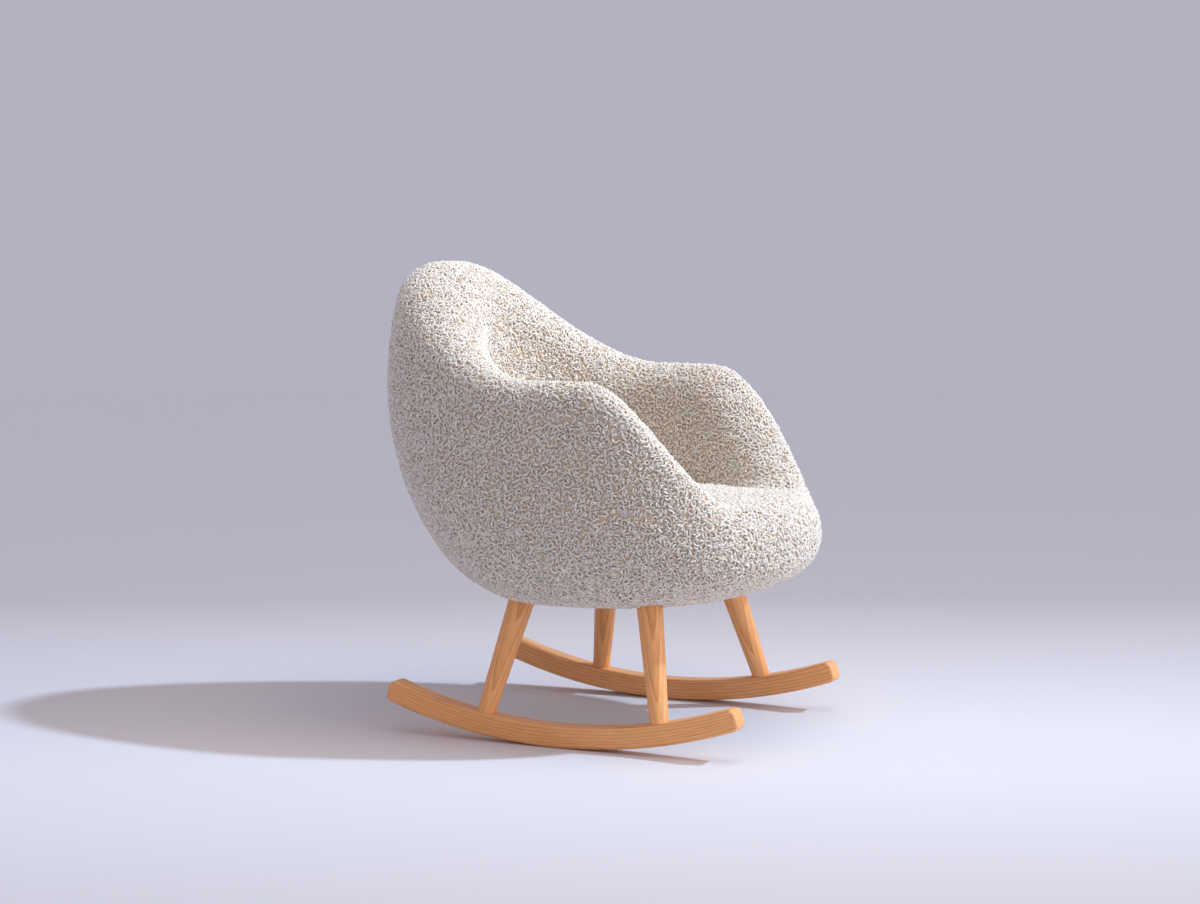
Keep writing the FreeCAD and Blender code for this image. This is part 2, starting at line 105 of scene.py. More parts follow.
class BoucleLook(bpy.types.PropertyGroup):
    """Yarn and colours of the boucle cover, with painted shade deep in the pile."""

    yarn: length("Yarn radius", "Half the thickness of one curled yarn", 0.0022)
    loop_small: length("Smallest curl", "Radius of the smallest curls", 0.0030)
    loop_large: length("Largest curl", "Radius of the largest curls", 0.0058)
    lean: number("Lean", "Spread of the curls' lean out of the cloth", 0.5, subtype="ANGLE")
    pile: length("Pile", "How far the tallest curls stand over the ground cloth", 0.0044)
    sink: length("Sink", "How far the ground cloth lies under the padded surface", 0.0026)
    spacing: length("Spacing", "Size of the cells that hold one curl each", 0.0058)
    seed: IntProperty(name="Seed", description="Start of the random curls", default=11)
    # Painted shade in the pile: the cream yarn is palest at the tips, darker on the flanks and darkest on
    # the ground cloth, where shade falls between the curls
    tip: colour("Tip", "Colour of the curls' tops", (0.95, 0.85, 0.745))
    middle: colour("Flank", "Colour of the curls' flanks", (0.90, 0.77, 0.635))
    gap: colour("Ground", "Colour of the ground cloth between the curls", (0.79, 0.63, 0.47))


class WoodLook(bpy.types.PropertyGroup):
    """Colours of the ash legs and rockers."""

    early: colour("Early wood", "Colour of the pale growth", (0.97, 0.465, 0.172))
    late: colour("Late wood", "Colour of the dark grain lines", (0.72, 0.30, 0.095))
    ring: length("Grain spacing", "Distance between the grain lines", 0.006)
    rocker_radius: length("Rocker radius", "Radius of the rockers' undersides", 0.980)


class StudioLook(bpy.types.PropertyGroup):
    """Camera, lights and floor."""

    azimuth: degrees("Azimuth", "Camera azimuth, 0 looks along +Y", -65.637)
    elevation: degrees("Elevation", "Camera elevation", 5.321)
    distance: length("Distance", "From the camera to its target", 4.466)
    target: place("Target", "Point the camera looks at", (0.0, 0.03563, 0.48346))
    lens: number("Lens", "Focal length in millimetres on a 36 mm sensor", 75.0, unit="CAMERA")
    key: number("Key strength", "Strength of the key light", 2.5)
    key_colour: colour("Key colour", "Colour of the key light", (0.575, 0.775, 1.0))
    key_height: degrees("Key height", "Height of the key light over the floor", 46.5)
    key_width: degrees("Key width", "Width of the key light in the sky", 3.0)
    overhead: number("Overhead power", "Power of the soft light over the chair", 17.0, unit="POWER")
    overhead_size: length("Overhead size", "Width of the soft light over the chair", 1.4)
    overhead_place: place("Overhead place", "Place of the soft light over the chair", (-0.25, -0.6, 2.5))
    soft_colour: colour("Soft colour", "Colour of the overhead light and the fills", (1.0, 0.92, 0.83))
    front_fill: number("Front fill strength", "Strength of the low soft light before the chair", 0.9)
    side_fill: number("Side fill strength", "Strength of the low soft light beside the camera", 0.12)
    fill_height: degrees("Fill height", "Height of both low soft lights over the floor", 18.0)
    fill_width: degrees("Fill width", "Width of both low soft lights in the sky", 36.0)
    floor_radius: length("Floor radius", "From the middle of the floor to its edge", 9.0)
    floor_near: colour("Floor in the light", "Colour of the lit floor", (0.74, 0.703, 0.7185))
    floor_far: colour("Floor far off", "Colour of the floor by the background", (0.499, 0.440, 0.436))
    wall: colour("Background", "Colour of the surroundings", (0.456, 0.445, 0.527))


# Form of the padded tub: angles in degrees from the nose, threes for the nose, the arms and the back
NOSE_TO_ARM = (25.0, 90.0)
ARM_TO_BACK = (90.0, 180.0)
ARM_RISE = (25.0, 71.0)
BACK_RISE = (92.0, 176.0)
CREST_START = (30.0, 70.0)
CREASE_START = (16.0, 42.0)
WIDEST_HEIGHTS = (0.338, 0.430, 0.635)
RIM_ROLLS = (0.058, 0.050, 0.086)
RIM_INSETS = (0.003, 0.012, 0.016)
TUB_POWERS = (2.4, 2.0)
SEAT_POWERS = (2.4, 2.4)
BASE_POWERS = (2.3, 2.3)

# Form of the seat and the underside: slope, steps from edge to middle, crease and crown
SEAT_SLOPE = 0.08
SEAT_STEPS = (0.003, 0.006, 0.010, 0.015, 0.021, 0.028, 0.038, 0.05, 0.065, 0.085, 0.11, 0.135)
SEAT_CORE = 0.02  # smallest radius that the steps reach
CREASE_WIDTH = 0.009
CREASE_AT_EDGE = 0.6  # share of the crease's depth at the foot of the inner face
CROWN_REACH = 0.138
UNDERSIDE_SHARES = (0.0, 0.35, 0.7)


def eased(angle, start, end):
    """Share of the way between two angles round the tub, eased at both ends."""
    share = min(max((math.degrees(angle) - start) / (end - start), 0.0), 1.0)
    return share * share * (3.0 - 2.0 * share)


def round_tub(angle, nose, arm, back):
    """A value that changes smoothly from the nose to the arms to the back."""
    return nose + (arm - nose) * eased(angle, *NOSE_TO_ARM) + (back - arm) * eased(angle, *ARM_TO_BACK)


def oval_radius(angle, half_width, front, back, powers):
    """Radius of a squarish oval, with a power of its own for the front and for the back."""
    along = math.cos(angle)
    reach, power = (front, powers[0]) if along > 0.0 else (back, powers[1])
    across = abs(math.sin(angle)) / half_width
    return (across ** power + (abs(along) / reach) ** power) ** (-1.0 / power)


def seat_radius(angle, form):
    return oval_radius(angle, form.seat_half_width, form.seat_front, form.seat_back, SEAT_POWERS)


def base_radius(angle, form):
    return oval_radius(angle, form.base_half_width, form.base_front, form.base_back, BASE_POWERS)


def seat_level(radius, angle, form):
    return form.seat_height - SEAT_SLOPE * (form.axis_y - radius * math.cos(angle))


def widest_height(angle):
    return round_tub(angle, *WIDEST_HEIGHTS)


def rim_height(angle, form):
    arm = (form.arm_height - form.nose_height) * eased(angle, *ARM_RISE)
    back = (form.back_height - form.arm_height) * eased(angle, *BACK_RISE)
    return form.nose_height + arm + back


def rim_ring(angle, form):
    """Widest radius, inset, and the rim's outer and inner rolls as (centre, radius), at one angle."""
    widest = oval_radius(angle, form.half_width, form.front_reach, form.back_reach, TUB_POWERS)
    roll = round_tub(angle, *RIM_ROLLS)
    inset = round_tub(angle, *RIM_INSETS)
    shift = form.crest_shift * roll * eased(angle, *CREST_START)
    crest = (widest - inset - roll + shift, rim_height(angle, form))
    outer, inner = [((crest[0], crest[1] - radius), radius) for radius in (roll - shift, roll + shift)]
    return widest, inset, outer, inner


def rim_angles(angle, form):
    """Radius of the wall, and where the rolled rim starts on the outside and ends on the inside."""
    widest, inset, (centre, roll), (inner, inner_roll) = rim_ring(angle, form)
    climb = centre[1] - widest_height(angle)
    wall = roll + inset / 2.0 + climb * climb / (2.0 * inset)
    start = math.atan2(climb, centre[0] - widest + wall)
    seat = seat_radius(angle, form)
    reach = (seat - inner[0], seat_level(seat, angle, form) - inner[1])
    bearing = math.atan2(reach[1], reach[0]) % (2.0 * math.pi)
    return wall, start, bearing - math.acos(inner_roll / math.hypot(*reach))


def arc_points(centre, radius, start, end):
    """Points along an arc without its last one."""
    spacing = 0.006
    steps = max(3, int(abs(end - start) * radius / spacing))
    return [(centre[0] + radius * math.cos(start + (end - start) * i / steps),
             centre[1] + radius * math.sin(start + (end - start) * i / steps)) for i in range(steps)]


def outer_profile(angle, form):
    """From the middle of the underside over the belly, the outer wall and the rim."""
    widest, _, (centre, roll), (inner, inner_roll) = rim_ring(angle, form)
    base = base_radius(angle, form)
    high = widest_height(angle)
    width = widest - base
    rise = high - form.base_height
    slope = math.atan2(rise, width)
    corner = (width + rise - math.hypot(width, rise)) / 2.0
    lower = corner / (1.0 - math.cos(slope))
    upper = corner / (1.0 - math.sin(slope))
    joint = slope - math.pi / 2.0
    wall, start, end = rim_angles(angle, form)
    points = [(base * share, form.base_height) for share in UNDERSIDE_SHARES]
    points += arc_points((base, form.base_height + lower), lower, -math.pi / 2.0, joint)
    points += arc_points((widest - upper, high), upper, joint, 0.0)
    points += arc_points((widest - wall, high), wall, 0.0, start)
    points += arc_points(centre, roll, start, math.pi / 2.0)
    points += arc_points(inner, inner_roll, math.pi / 2.0, end)
    points.append((inner[0] + inner_roll * math.cos(end), inner[1] + inner_roll * math.sin(end)))
    return points


def inner_profile(angle, form):
    """From the foot of the inner face through the crease and over the crowned seat."""
    seat = seat_radius(angle, form)
    depth = form.crease_depth * eased(angle, *CREASE_START)
    points = [(seat, seat_level(seat, angle, form) - CREASE_AT_EDGE * depth)]
    for inward in SEAT_STEPS:
        radius = max(seat - inward, SEAT_CORE)
        crown = form.seat_crown * (1.0 - (1.0 - min(inward / CROWN_REACH, 1.0)) ** 2)
        groove = depth * math.exp(-(inward / CREASE_WIDTH) ** 2)
        points.append((radius, seat_level(radius, angle, form) + crown - groove))
    points.append((0.0, seat_level(0.0, angle, form) + form.seat_crown))
    return points


def resample(points, count):
    """The same profile with a fixed number of points, spaced by its length."""
    points = np.array(points)
    run = np.concatenate([[0.0], np.cumsum(np.linalg.norm(np.diff(points, axis=0), axis=1))])
    at = np.linspace(0.0, run[-1], count)
    return np.stack([np.interp(at, run, points[:, 0]), np.interp(at, run, points[:, 1])], axis=1)


def closed_body(form):
    """The padded body as one closed mesh of profiles round the tub's axis."""
    turns = 240
    rows = 190
    rings = []
    for index in range(turns):
        turn = 2.0 * math.pi * index / turns
        angle = min(turn, 2.0 * math.pi - turn)
        profile = resample(outer_profile(angle, form) + inner_profile(angle, form), rows)
        x = profile[:, 0] * math.sin(turn)
        y = form.axis_y - profile[:, 0] * math.cos(turn)
        rings.append(np.stack([x, y, profile[:, 1]], axis=1))
    grid = np.array(rings)[:, 1:-1]
    inside = grid.shape[1]
    poles = np.array([rings[0][0], rings[0][-1]])
    verts = np.concatenate([grid.reshape(-1, 3), poles])
    faces = []
    for i in range(turns):
        j = (i + 1) % turns
        for k in range(inside - 1):
            faces.append((i * inside + k, j * inside + k, j * inside + k + 1, i * inside + k + 1))
        faces.append((len(verts) - 2, j * inside, i * inside))
        faces.append((len(verts) - 1, i * inside + inside - 1, j * inside + inside - 1))
    mesh = bpy.data.meshes.new("body_profile")
    mesh.from_pydata(verts.tolist(), [], faces)
    mesh.validate()
    return mesh


# Meshes as arrays
def mesh_arrays(mesh):
    points = np.empty(len(mesh.vertices) * 3, dtype=np.float32)
    mesh.vertices.foreach_get("co", points)
    normals = np.empty(len(mesh.vertices) * 3, dtype=np.float32)
    mesh.vertex_normals.foreach_get("vector", normals)
    return points.reshape(-1, 3), normals.reshape(-1, 3)


def quad_corners(mesh):
    corners = np.empty(len(mesh.loops), dtype=np.int32)
    mesh.loops.foreach_get("vertex_index", corners)
    return corners.reshape(-1, 4)


def quad_mesh(name, verts, quads):
    mesh = bpy.data.meshes.new(name)
    mesh.vertices.add(len(verts))
    mesh.vertices.foreach_set("co", np.ascontiguousarray(verts, dtype=np.float32).ravel())
    mesh.loops.add(quads.size)
    mesh.loops.foreach_set("vertex_index", quads.astype(np.int32).ravel())
    mesh.polygons.add(len(quads))
    mesh.polygons.foreach_set("loop_start", np.arange(0, quads.size, 4, dtype=np.int32))
    mesh.update(calc_edges=True)
    mesh.shade_smooth()
    return mesh


def evaluated_copy(obj, name):
    """A new mesh with the object's modifiers applied."""
    graph = bpy.context.evaluated_depsgraph_get()
    mesh = bpy.data.meshes.new_from_object(obj.evaluated_get(graph))
    mesh.name = name
    return mesh


def discard(obj):
    """Removes a helper object together with its mesh."""
    mesh = obj.data
    bpy.data.objects.remove(obj)
    bpy.data.meshes.remove(mesh)


def unit(vectors):
    return vectors / np.linalg.norm(vectors, axis=-1, keepdims=True)


# Places on the padded tub
def tub_place(points, form):
    """Distance of points from the tub's axis, and their angle from the nose."""
    ahead = form.axis_y - points[:, 1]
    return np.hypot(points[:, 0], ahead), np.abs(np.arctan2(points[:, 0], ahead))


def lookup(angles, value, steps=361):
    """What a function of the angle round the tub gives at many angles, read from a table."""
    table = np.linspace(0.0, math.pi, steps)
    return np.interp(angles, table, [value(turn) for turn in table])


def on_seat(points, form):
    """Points of the seat inside the crease."""
    edge = 0.008
    depth = 0.045
    radius, angle = tub_place(points, form)
    seat = lookup(angle, lambda turn: seat_radius(turn, form))
    level = form.seat_height - SEAT_SLOPE * points[:, 1]
    return (radius < seat - edge) & (np.abs(points[:, 2] - level) < depth)


def cloth_shown(points, form):
    """0 under the dust cover, where the cloth ends, and 1 where it shows."""
    tuck = 0.040
    fade = 0.010
    flat = 0.004
    radius, angle = tub_place(points, form)
    edge = lookup(angle, lambda turn: base_radius(turn, form) - tuck, steps=181)
    shown = np.clip((radius - edge) / fade, 0.0, 1.0)
    return np.where(points[:, 2] < form.base_height + flat, shown, 1.0)


SIDES = ("left", "right")
OUTSIDE = ("outside_cover", "outer_foam")
INSIDE = ("inside_cover", "inner_foam")
PANELS = [(f"boucle_outside_{part}_{side}", OUTSIDE)
          for part in ("front", "side", "back") for side in SIDES]
PANELS += [(f"boucle_inside_{part}_{side}", INSIDE) for part in ("arm", "back") for side in SIDES]
PANELS += [("boucle_seat", ("seat_cover", "seat_foam"))]
FRONT_SEAM = math.radians(62.0)
BACK_SEAM = math.radians(118.0)
INSIDE_SEAM = math.radians(125.0)
INSIDE_FLOOR = 0.345  # height over which cloth within the rim counts as inside


def panel_of(points, form):
    """Index in PANELS of the sewn panel that each point belongs to."""
    radius, angle = tub_place(points, form)
    height = points[:, 2]
    roll_radius = lookup(angle, lambda turn: rim_ring(turn, form)[3][0][0])
    roll_height = lookup(angle, lambda turn: rim_ring(turn, form)[3][0][1])
    seam = lookup(angle, lambda turn: sum(rim_angles(turn, form)[1:]) / 2.0)
    over = (height >= roll_height) & (np.arctan2(height - roll_height, radius - roll_radius) > seam)
    below = (height < roll_height) & (radius < roll_radius) & (height > INSIDE_FLOOR)
    outside = np.where(angle < FRONT_SEAM, 0, np.where(angle < BACK_SEAM, 2, 4))
    inside = np.where(angle < INSIDE_SEAM, 6, 8)
    side = np.where(points[:, 0] >= 0.0, 0, 1)
    panel = side + np.where(over | below, inside, outside)
    return np.where(on_seat(points, form), len(PANELS) - 1, panel)


# Surface of the padded body
def relax(mesh, rounds):
    """Evens out the remeshed surface by moving each point halfway towards its neighbours."""
    points, _ = mesh_arrays(mesh)
    edges = np.empty(len(mesh.edges) * 2, dtype=np.int32)
    mesh.edges.foreach_get("vertices", edges)
    one, other = edges.reshape(-1, 2).T
    count = np.bincount(np.concatenate([one, other]), minlength=len(points))[:, None]
    for _ in range(rounds):
        total = np.zeros_like(points)
        for axis in range(3):
            total[:, axis] = np.bincount(one, weights=points[other, axis], minlength=len(points))
            total[:, axis] += np.bincount(other, weights=points[one, axis], minlength=len(points))
        points += 0.5 * (total / count - points)
    mesh.vertices.foreach_set("co", points.ravel())
    mesh.update()


def swell(mesh, form, soft):
    """Swells the seat by air pressure as cloth held round its edge, and caps its movement."""
    frames = 20
    points, _ = mesh_arrays(mesh)
    quads = quad_corners(mesh)
    used, flat = np.unique(quads[soft[quads].any(axis=1)], return_inverse=True)
    pad = bpy.data.objects.new("seat_pad", quad_mesh("seat_pad", points[used], flat.reshape(-1, 4)))
    scene = bpy.context.scene
    scene.collection.objects.link(pad)
    held = pad.vertex_groups.new(name="held")
    held.add(np.nonzero(~soft[used])[0].tolist(), 1.0, "REPLACE")
    cloth = pad.modifiers.new("swell", "CLOTH")
    cloth.settings.use_pressure = True
    cloth.settings.uniform_pressure_force = form.pressure
    cloth.settings.vertex_group_mass = "held"
    cloth.settings.effector_weights.gravity = 0.0
    for step in range(1, frames + 1):
        scene.frame_set(step)
    swollen = evaluated_copy(pad, "swollen_pad")
    scene.frame_set(1)
    end, _ = mesh_arrays(swollen)
    move = end - points[used]
    far = np.linalg.norm(move, axis=1, keepdims=True)
    points[used] += move * np.minimum(1.0, form.swell_cap / np.maximum(far, 1e-9))
    mesh.vertices.foreach_set("co", points.ravel())
    mesh.update()
    bpy.data.meshes.remove(swollen)
    discard(pad)


def upholstery_surface(form):
    """Remeshed and subdivided surface of the padded body, with the seat swollen."""
    profile = closed_body(form)
    body = bpy.data.objects.new("padded_body", profile)
    bpy.context.scene.collection.objects.link(body)
    remesh = body.modifiers.new("even faces", "REMESH")
    remesh.mode = "VOXEL"
    remesh.voxel_size = form.voxel
    even = evaluated_copy(body, "even_body")
    body.modifiers.clear()
    relax(even, 4)
    swell(even, form, on_seat(mesh_arrays(even)[0], form))
    relax(even, 2)
    body.data = even
    bpy.data.meshes.remove(profile)
    body.modifiers.new("finer", "SUBSURF").levels = 1
    fine = evaluated_copy(body, "fine_body")
    discard(body)
    return fine


# Curled yarn: steps and sides of each tube, ranges of its turn, lift and thickness, its form, and the
# painted shade at its feet and painted light and shade round it
CURL_STEPS = 6
CURL_SIDES = 3
CURL_SWEEP = (1.9, 4.6)
CURL_LIFT = (0.5, 1.0)
YARN_THICKNESS = (0.8, 1.15)
MOST_LEAN = 0.9  # in radians
CURL_MIDDLE = 0.6  # where a curl's foot lies, as a share of its radius
ARCH_POWER = 0.7
FOOT_DEPTH = 0.4  # how far the feet sink in, as a share of the yarn's radius
FOOT_THICKNESS = 0.6
# Painted shade: share of the curls' brightness left at their sunk feet, as if deep in the pile
FOOT_PAINTED_SHADE = 0.3
# Painted light and shade: each tube's upper side lighter and its underside darker
ROUND_PAINTED_LIGHT_AND_SHADE = 0.12
CELLS_ACROSS = 4096  # more cells than the chair has along any axis


def place_curls(points, look, rng):
    """One randomly chosen point of the ground cloth in every small cell."""
    order = rng.permutation(len(points))
    cells = np.floor(points[order] / look.spacing).astype(np.int64)
    cells = (cells[:, 0] * CELLS_ACROSS + cells[:, 1]) * CELLS_ACROSS + cells[:, 2]
    _, first = np.unique(cells, return_index=True)
    return order[first]


def curled_yarns(feet, normal, look, rng):
    """Raised curls of yarn on the ground cloth, each a thin tube: corners, painted light and shade by
    height, and tones.
    """
    count = len(feet)
    aside = unit(np.cross(normal, rng.normal(size=(count, 3))))
    ahead = np.cross(normal, aside)
    radius = rng.uniform(look.loop_small, look.loop_large, count)[:, None]
    sweep = rng.uniform(*CURL_SWEEP, count)[:, None]
    lift = rng.uniform(*CURL_LIFT, count)[:, None]
    share = np.linspace(0.0, 1.0, CURL_STEPS)[None, :]
    arch = np.sin(math.pi * share)
    angle = (share - 0.5) * sweep
    lean = np.clip(rng.normal(0.0, look.lean, count), -MOST_LEAN, MOST_LEAN)[:, None]
    flat = radius * (np.cos(angle) - CURL_MIDDLE)
    forward = flat * np.cos(lean)
    sideways = radius * np.sin(angle)
    raised = look.pile * lift * np.maximum(arch, 0.0) ** ARCH_POWER
    rise = raised + flat * np.sin(np.abs(lean)) - FOOT_DEPTH * look.yarn
    line = feet[:, None] + forward[..., None] * ahead[:, None] + sideways[..., None] * aside[:, None]
    line = line + rise[..., None] * normal[:, None]
    run = unit(np.gradient(line, axis=1))
    across = unit(np.cross(normal[:, None], run))
    up = np.cross(run, across)
    taper = FOOT_THICKNESS + (1.0 - FOOT_THICKNESS) * arch
    thick = look.yarn * rng.uniform(*YARN_THICKNESS, count)[:, None] * taper
    ring = (np.arange(CURL_SIDES) + 0.5) * 2.0 * math.pi / CURL_SIDES
    spoke = np.cos(ring)[:, None] * across[:, :, None] + np.sin(ring)[:, None] * up[:, :, None]
    corners = line[:, :, None] + thick[..., None, None] * spoke
    # Painted light and shade: the curl value is brighter on each curl's arch and upper side, darker at its
    # feet and underside
    height = (FOOT_PAINTED_SHADE + (1.0 - FOOT_PAINTED_SHADE) * lift * arch)[:, :, None] + ROUND_PAINTED_LIGHT_AND_SHADE * np.sin(ring)
    tone = np.broadcast_to(rng.uniform(0.0, 1.0, count)[:, None, None], height.shape)
    return corners.reshape(count, -1, 3), height.reshape(count, -1), tone.reshape(count, -1)


def curl_faces(count, first):
    """Corner numbers of the sides of many curls; their ends are sunk in the ground cloth."""
    faces = []
    for low in range(0, (CURL_STEPS - 1) * CURL_SIDES, CURL_SIDES):
        high = low + CURL_SIDES
        for side in range(CURL_SIDES):
            beside = (side + 1) % CURL_SIDES
            faces.append((low + side, low + beside, high + beside, high + side))
    starts = first + np.arange(count) * CURL_STEPS * CURL_SIDES
    return (starts[:, None, None] + np.array(faces)).reshape(-1, 4)


def panel_mesh(name, ground, quads, yarns, height, tone):
    """One sewn panel: its ground cloth and the curls that stand on it."""
    if not len(quads):
        raise ValueError(f"no ground cloth was found for {name}")
    used, flat = np.unique(quads, return_inverse=True)
    verts = np.concatenate([ground[used], yarns.reshape(-1, 3)])
    mesh = quad_mesh(name, verts, np.concatenate([flat.reshape(-1, 4), curl_faces(len(yarns), len(used))]))
    # The ground cloth gets the lowest curl value, the darkest colour, as painted shade under the curls;
    # its tone is the neutral middle
    for key, bare, curled in (("curl", 0.0, height), ("tone", 0.5, tone)):
        values = np.concatenate([np.full(len(used), bare), curled.ravel()])
        mesh.attributes.new(key, "FLOAT", "POINT").data.foreach_set("value", values.astype(np.float32))
    return mesh


# Materials
class Shading:
    """A new material, with short ways to add its nodes."""

    def __init__(self, name):
        self.material = bpy.data.materials.new(name)
        self.material.use_nodes = True
        self.tree = self.material.node_tree
        self.shader = self.tree.nodes["Principled BSDF"]

    def fill(self, node, values):
        for socket, value in values.items():
            if isinstance(value, bpy.types.NodeSocket):
                self.tree.links.new(value, node.inputs[socket])
            else:
                node.inputs[socket].default_value = value

    def node(self, kind, values, **settings):
        node = self.tree.nodes.new(kind)
        for key, value in settings.items():
            setattr(node, key, value)
        self.fill(node, values)
        return node

    def place(self):
        return self.node("ShaderNodeTexCoord", {}).outputs["Object"]

    def attribute(self, name):
        return self.node("ShaderNodeAttribute", {}, attribute_name=name).outputs["Fac"]

    def stretched(self, vector, scale):
        return self.node("ShaderNodeMapping", {"Vector": vector, "Scale": scale}).outputs["Vector"]

    def parts(self, vector):
        return self.node("ShaderNodeSeparateXYZ", {"Vector": vector}).outputs

    def noise(self, vector, scale, detail=2.0, roughness=0.5):
        values = {"Vector": vector, "Scale": scale, "Detail": detail, "Roughness": roughness}
        return self.node("ShaderNodeTexNoise", values).outputs["Fac"]

    def between(self, value, low, high, start=0.0, end=1.0):
        """Carries the range from start to end over to the range from low to high."""
        values = {"Value": value, "From Min": start, "From Max": end, "To Min": low, "To Max": high}
        return self.node("ShaderNodeMapRange", values).outputs["Result"]

    def calculate(self, operation, *values):
        return self.node("ShaderNodeMath", dict(enumerate(values)), operation=operation).outputs["Value"]

    def scaled(self, tint, share):
        values = {0: tint, "Scale": share}
        return self.node("ShaderNodeVectorMath", values, operation="SCALE").outputs["Vector"]

    def ramp(self, value, stops):
        node = self.node("ShaderNodeValToRGB", {"Fac": value})
        elements = node.color_ramp.elements
        while len(elements) < len(stops):
            elements.new(0.5)
        for element, (place, tint) in zip(elements, stops):
            element.position = place
            element.color = (*tint, 1.0)
        return node.outputs["Color"]

    def relief(self, height, strength, distance):
        values = {"Height": height, "Strength": strength, "Distance": distance}
        self.fill(self.shader, {"Normal": self.node("ShaderNodeBump", values).outputs["Normal"]})


def boucle_material(look):
    """Cream yarn with a soft sheen, paler on the curls' tops as painted light and darker deep in the pile
    as painted shade.
    """
    make = Shading("boucle")
    spot = make.place()
    # Painted light and shade: the curl value picks the ground, flank or tip colour by depth in the pile
    base = make.ramp(make.attribute("curl"), ((0.0, look.gap), (0.45, look.middle), (0.9, look.tip)))
    fibre = make.between(make.noise(spot, 420.0, 3.0, 0.7), 0.92, 1.05, 0.3, 0.7)
    shade = make.calculate("MULTIPLY", make.between(make.attribute("tone"), 0.9, 1.04), fibre)
    make.fill(make.shader, {"Base Color": make.scaled(base, shade), "Roughness": 0.95,
                            "Specular IOR Level": 0.2, "Sheen Weight": 0.4, "Sheen Roughness": 0.5,
                            "Sheen Tint": (1.0, 0.93, 0.84, 1.0), "Subsurface Weight": 0.4,
                            "Subsurface Radius": (1.0, 0.75, 0.5), "Subsurface Scale": 0.004})
    make.relief(make.noise(spot, 1100.0), 0.35, 0.0008)
    return make.material


def ash_material(name, look, grain):
    """Ash with long grain; grain gives a vector whose Z runs along it."""
    make = Shading(name)
    along = grain(make)
    wander = make.noise(make.stretched(along, (9.0, 9.0, 1.1)), 1.6, 3.0, 0.55)
    parts = make.parts(make.stretched(along, (1.0 / look.ring, 0.55 / look.ring, 0.5)))
    rings = make.calculate("MULTIPLY_ADD", wander, 5.0, make.calculate("ADD", parts["X"], parts["Y"]))
    streak = make.noise(make.stretched(along, (900.0, 900.0, 26.0)), 1.0, 2.0, 0.6)
    middle = tuple(0.62 * early + 0.38 * late for early, late in zip(look.early, look.late))
    stops = ((0.0, look.early), (0.55, middle), (0.9, look.late), (1.0, look.early))
    tint = make.ramp(make.calculate("FRACT", rings), stops)
    make.fill(make.shader, {"Base Color": make.scaled(tint, make.between(streak, 0.84, 1.1, 0.3, 0.7)),
                            "Roughness": make.between(streak, 0.5, 0.34)})
    make.relief(streak, 0.2, 0.0004)
    return make.material


def grain_along_line(start, direction):
    """Coordinates turned so that Z follows a straight piece of wood."""
    turn = Vector(direction).normalized().rotation_difference(Vector((0.0, 0.0, 1.0))).to_matrix()
    values = {"Location": -(turn @ Vector(start)), "Rotation": turn.to_euler("XYZ")}

    def build(make):
        return make.node("ShaderNodeMapping", {"Vector": make.place(), **values}).outputs["Vector"]

    return build


def grain_along_bend(radius):
    """Coordinates in which Z follows the bend of a rocker and X its depth."""

    def build(make):
        parts = make.parts(make.place())
        drop = make.calculate("SUBTRACT", radius, parts["Z"])
        run = make.calculate("MULTIPLY", make.calculate("ARCTAN2", parts["Y"], drop), radius)
        ahead = make.calculate("MULTIPLY", parts["Y"], parts["Y"])
        depth = make.calculate("SQRT", make.calculate("MULTIPLY_ADD", drop, drop, ahead))
        return make.node("ShaderNodeCombineXYZ", {"X": depth, "Y": parts["X"], "Z": run}).outputs["Vector"]

    return build


def plywood_material():
    """Birch plies seen on the edges, with faint grain on the faces."""
    make = Shading("birch_plywood")
    spot = make.place()
    ply = make.calculate("PINGPONG", make.calculate("MULTIPLY", make.parts(spot)["Z"], 280.0), 1.0)
    grain = make.noise(make.stretched(spot, (260.0, 14.0, 260.0)), 1.0, 3.0, 0.6)
    tint = make.ramp(ply, ((0.35, (0.62, 0.43, 0.24)), (0.65, (0.42, 0.27, 0.14))))
    make.fill(make.shader, {"Base Color": make.scaled(tint, make.between(grain, 0.8, 1.15, 0.3, 0.7)),
                            "Roughness": make.between(grain, 0.75, 0.55)})
    make.relief(grain, 0.25, 0.0004)
    return make.material


def fibre_material():
    """Pressed fibre board with flecks."""
    make = Shading("moulded_fibre")
    flecks = make.noise(make.stretched(make.place(), (220.0, 220.0, 90.0)), 1.0, 4.0, 0.7)
    tint = make.ramp(flecks, ((0.35, (0.16, 0.10, 0.055)), (0.65, (0.33, 0.23, 0.135))))
    make.fill(make.shader, {"Base Color": tint, "Roughness": make.between(flecks, 0.7, 0.9)})
    make.relief(flecks, 0.3, 0.0006)
    return make.material


def steel_material():
    """Zinc-plated steel with fine turned lines."""
    make = Shading("zinc_steel")
    lines = make.noise(make.stretched(make.place(), (200.0, 200.0, 2600.0)), 1.0, 2.0)
    tint = make.ramp(lines, ((0.3, (0.42, 0.43, 0.45)), (0.7, (0.62, 0.62, 0.60))))
    make.fill(make.shader, {"Base Color": tint, "Metallic": 1.0,
                            "Roughness": make.between(lines, 0.28, 0.46)})
    make.relief(lines, 0.1, 0.0002)
    return make.material


def dust_cloth_material():
    """Black non-woven cloth with pressed dimples."""
    make = Shading("dust_cloth")
    spot = make.place()
    dimples = make.node("ShaderNodeTexVoronoi", {"Vector": spot, "Scale": 420.0}).outputs["Distance"]
    fibre = make.noise(spot, 700.0, 3.0, 0.7)
    tint = make.ramp(fibre, ((0.35, (0.011, 0.011, 0.012)), (0.7, (0.032, 0.031, 0.030))))
    make.fill(make.shader, {"Base Color": tint, "Roughness": make.between(fibre, 0.8, 0.95)})
    make.relief(dimples, 0.4, 0.0005)
    return make.material


